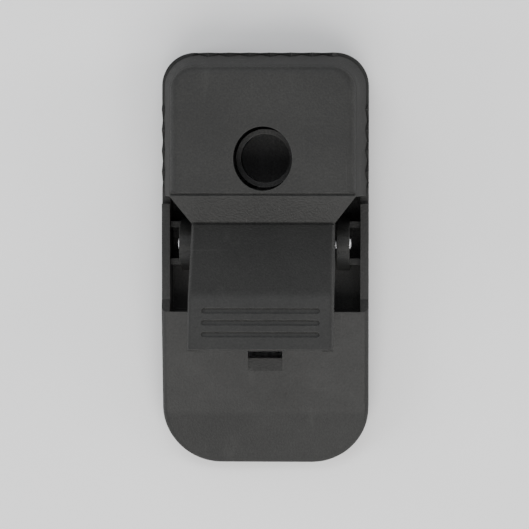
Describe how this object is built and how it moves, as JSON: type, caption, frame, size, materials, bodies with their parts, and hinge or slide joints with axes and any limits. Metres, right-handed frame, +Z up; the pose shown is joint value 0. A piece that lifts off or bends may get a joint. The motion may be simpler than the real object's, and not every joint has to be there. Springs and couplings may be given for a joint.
{
  "type": "snap mouse trap",
  "caption": "Jaw-type plastic snap trap for mice: a toothed box jaw snaps down on a tray base, set by pressing the ribbed rear handle, with a trigger pedal and a removable bait cup",
  "frame": {"origin": "middle of the base's underside, on the surface the trap stands on", "axes": "+Y to the mouth, along the trap's length; +Z up; X across, and the trap is the same on both sides"},
  "size_m": [0.05, 0.1, 0.043],
  "materials": {
    "moulded_plastic": "charcoal black moulded plastic with a fine satin grain",
    "trigger_plastic": "black moulded plastic",
    "cup_plastic": "dark grey moulded plastic, a shade paler than the jaw",
    "pin_steel": "drawn steel wire",
    "spring_steel": "zinc-plated spring wire"
  },
  "bodies": {
    "base": {"base_tray": "moulded_plastic", "jaw_pivot_pin": "pin_steel", "trigger_pivot_pin": "pin_steel", "torsion_spring_left": "spring_steel", "torsion_spring_right": "spring_steel"},
    "jaw": {"jaw_lever": "moulded_plastic"},
    "trigger": {"trigger_pedal": "trigger_plastic"},
    "cup": {"bait_cup": "cup_plastic"}
  },
  "joints": [
    {"name": "jaw_open", "type": "hinge", "parent": "base", "child": "jaw", "pos_m": [0, 0.004, 0.0145], "axis": [1, 0, 0], "range_deg": [0, 52], "stiffness_Nm_per_rad": 0.2, "springref_deg": -28.65, "deforming": ["torsion_spring_left", "torsion_spring_right"]},
    {"name": "trigger_tip", "type": "hinge", "parent": "base", "child": "trigger", "pos_m": [0, -0.017, 0.003], "axis": [1, 0, 0], "range_deg": [0, 12]},
    {"name": "cup_twist", "type": "hinge", "parent": "trigger", "child": "cup", "pos_m": [0, 0.0245, 0.0025], "axis": [0, 0, 1], "range_deg": [0, 60]}
  ]
}
